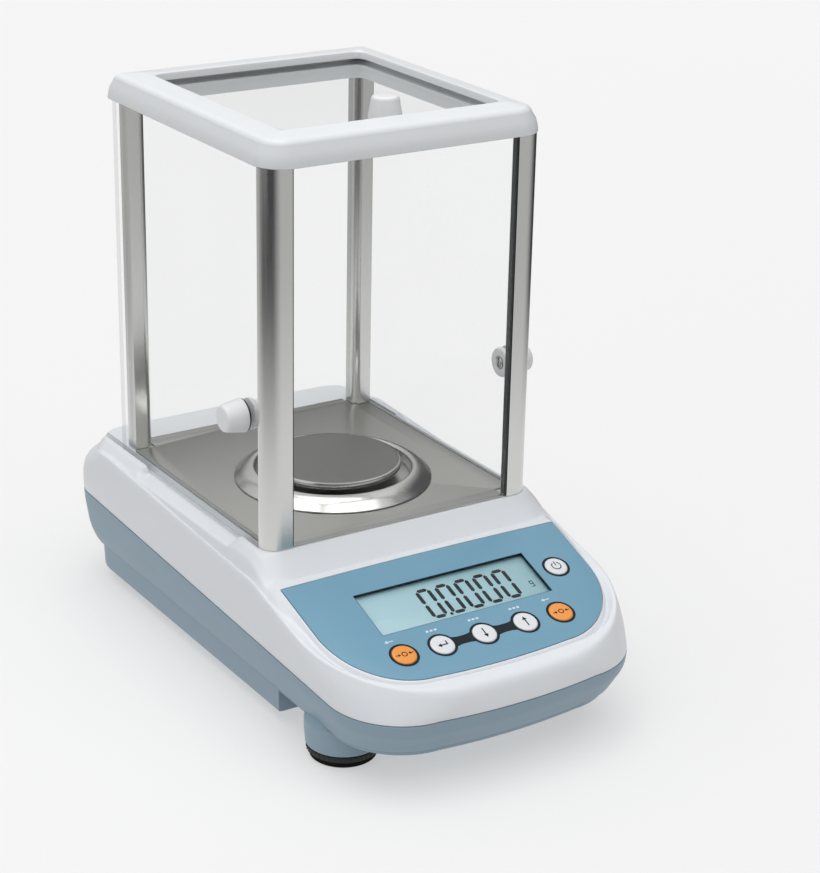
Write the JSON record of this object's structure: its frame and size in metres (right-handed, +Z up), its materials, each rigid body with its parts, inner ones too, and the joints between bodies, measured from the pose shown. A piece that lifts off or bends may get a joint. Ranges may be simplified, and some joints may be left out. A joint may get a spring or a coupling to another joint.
{
  "type": "analytical balance",
  "caption": "Analytical balance with a framed glass draft shield, sliding doors, round weighing pan, draft ring, sloped keypad with display and levelling feet.",
  "frame": {"origin": "centre of the footprint on the table, under the feet", "axes": "+X to the right seen from the front, +Y to the rear, +Z up; the keypad faces -Y"},
  "size_m": [0.202, 0.369, 0.3419],
  "materials": {
    "housing_light": "satin, light grey",
    "housing_blue": "satin, blue-grey",
    "stainless": "fine brushed",
    "polished_steel": "polished",
    "pan_steel": "bead blasted, satin",
    "anodised": "satin anodised",
    "glass": "clear",
    "black_seal": "matte",
    "rail_plastic": "satin",
    "overlay_film": "printed film, satin",
    "clear_window": "clear",
    "lcd_glass": "satin",
    "circuit_board": "satin",
    "cast_aluminium": "as cast",
    "black_plastic": "satin",
    "foot_rubber": "matte",
    "screw_steel": "satin",
    "white_plastic": "satin",
    "key_orange": "satin",
    "key_white": "satin"
  },
  "bodies": {
    "base": {"base_chassis": "cast_aluminium", "case_screw_front_left": "screw_steel", "case_screw_front_right": "screw_steel", "case_screw_rear_left": "screw_steel", "case_screw_rear_right": "screw_steel", "chamber_floor": "stainless", "display_board": "circuit_board", "front_glass": "glass", "front_seal_left": "black_seal", "front_seal_right": "black_seal", "hook_cover": "black_plastic", "keypad_overlay": "overlay_film", "lcd_module": "lcd_glass", "lcd_window": "clear_window", "left_door_rail": "rail_plastic", "level_housing": "black_plastic", "level_vial": "clear_window", "load_cell": "cast_aluminium", "lower_housing": "housing_blue", "main_board": "circuit_board", "post_front_left": "anodised", "post_front_right": "anodised", "post_rear_left": "anodised", "post_rear_right": "anodised", "power_inlet": "black_plastic", "rear_glass": "glass", "right_door_rail": "rail_plastic", "serial_port": "black_plastic", "top_frame": "housing_light", "upper_housing": "housing_light"},
    "left_door": {"left_door_glass": "glass", "knob_left": "white_plastic", "knob_disc_left": "white_plastic", "knob_screw_left": "screw_steel"},
    "right_door": {"right_door_glass": "glass", "knob_right": "white_plastic", "knob_disc_right": "white_plastic", "knob_screw_right": "screw_steel"},
    "top_door": {"top_door_glass": "glass", "knob_top": "white_plastic", "knob_disc_top": "white_plastic", "knob_screw_top": "screw_steel"},
    "pan": {"weighing_pan": "pan_steel", "pan_support": "pan_steel"},
    "ring": {"draft_ring": "polished_steel"},
    "key_tare_left_body": {"key_tare_left": "key_orange"},
    "key_enter_body": {"key_enter": "key_white"},
    "key_down_body": {"key_down": "key_white"},
    "key_up_body": {"key_up": "key_white"},
    "key_tare_right_body": {"key_tare_right": "key_orange"},
    "key_power_body": {"key_power": "key_white"},
    "foot_front_left": {"foot_stud_front_left": "black_plastic", "foot_pad_front_left": "foot_rubber"},
    "foot_front_right": {"foot_stud_front_right": "black_plastic", "foot_pad_front_right": "foot_rubber"},
    "foot_rear_left": {"foot_stud_rear_left": "black_plastic", "foot_pad_rear_left": "foot_rubber"},
    "foot_rear_right": {"foot_stud_rear_right": "black_plastic", "foot_pad_rear_right": "foot_rubber"}
  },
  "joints": [
    {"name": "left_door_slide", "type": "slide", "parent": "base", "child": "left_door", "axis": [0, 1, 0], "range_m": [0, 0.13]},
    {"name": "right_door_slide", "type": "slide", "parent": "base", "child": "right_door", "axis": [0, 1, 0], "range_m": [0, 0.13]},
    {"name": "top_door_slide", "type": "slide", "parent": "base", "child": "top_door", "axis": [0, 1, 0], "range_m": [0, 0.128]},
    {"name": "pan_lift", "type": "slide", "parent": "base", "child": "pan", "axis": [0, 0, 1], "range_m": [0, 0.04]},
    {"name": "ring_lift", "type": "slide", "parent": "base", "child": "ring", "axis": [0, 0, 1], "range_m": [0, 0.04]},
    {"name": "key_tare_left_press", "type": "slide", "parent": "base", "child": "key_tare_left_body", "axis": [0, 0.3244, -0.9459], "range_m": [0, 0.0004], "stiffness_N_per_m": 2500, "springref_m": -0.0002},
    {"name": "key_enter_press", "type": "slide", "parent": "base", "child": "key_enter_body", "axis": [0, 0.3244, -0.9459], "range_m": [0, 0.0004], "stiffness_N_per_m": 2500, "springref_m": -0.0002},
    {"name": "key_down_press", "type": "slide", "parent": "base", "child": "key_down_body", "axis": [0, 0.3244, -0.9459], "range_m": [0, 0.0004], "stiffness_N_per_m": 2500, "springref_m": -0.0002},
    {"name": "key_up_press", "type": "slide", "parent": "base", "child": "key_up_body", "axis": [0, 0.3244, -0.9459], "range_m": [0, 0.0004], "stiffness_N_per_m": 2500, "springref_m": -0.0002},
    {"name": "key_tare_right_press", "type": "slide", "parent": "base", "child": "key_tare_right_body", "axis": [0, 0.3244, -0.9459], "range_m": [0, 0.0004], "stiffness_N_per_m": 2500, "springref_m": -0.0002},
    {"name": "key_power_press", "type": "slide", "parent": "base", "child": "key_power_body", "axis": [0, 0.3244, -0.9459], "range_m": [0, 0.0004], "stiffness_N_per_m": 2500, "springref_m": -0.0002},
    {"name": "foot_front_left_turn", "type": "hinge", "parent": "base", "child": "foot_front_left", "pos_m": [-0.07, -0.1144, 0.008], "axis": [0, 0, 1], "range_deg": [-360, 360]},
    {"name": "foot_front_right_turn", "type": "hinge", "parent": "base", "child": "foot_front_right", "pos_m": [0.07, -0.1144, 0.008], "axis": [0, 0, 1], "range_deg": [-360, 360]},
    {"name": "foot_rear_left_turn", "type": "hinge", "parent": "base", "child": "foot_rear_left", "pos_m": [-0.056, 0.1401, 0.008], "axis": [0, 0, 1], "range_deg": [-360, 360]},
    {"name": "foot_rear_right_turn", "type": "hinge", "parent": "base", "child": "foot_rear_right", "pos_m": [0.056, 0.1401, 0.008], "axis": [0, 0, 1], "range_deg": [-360, 360]}
  ]
}
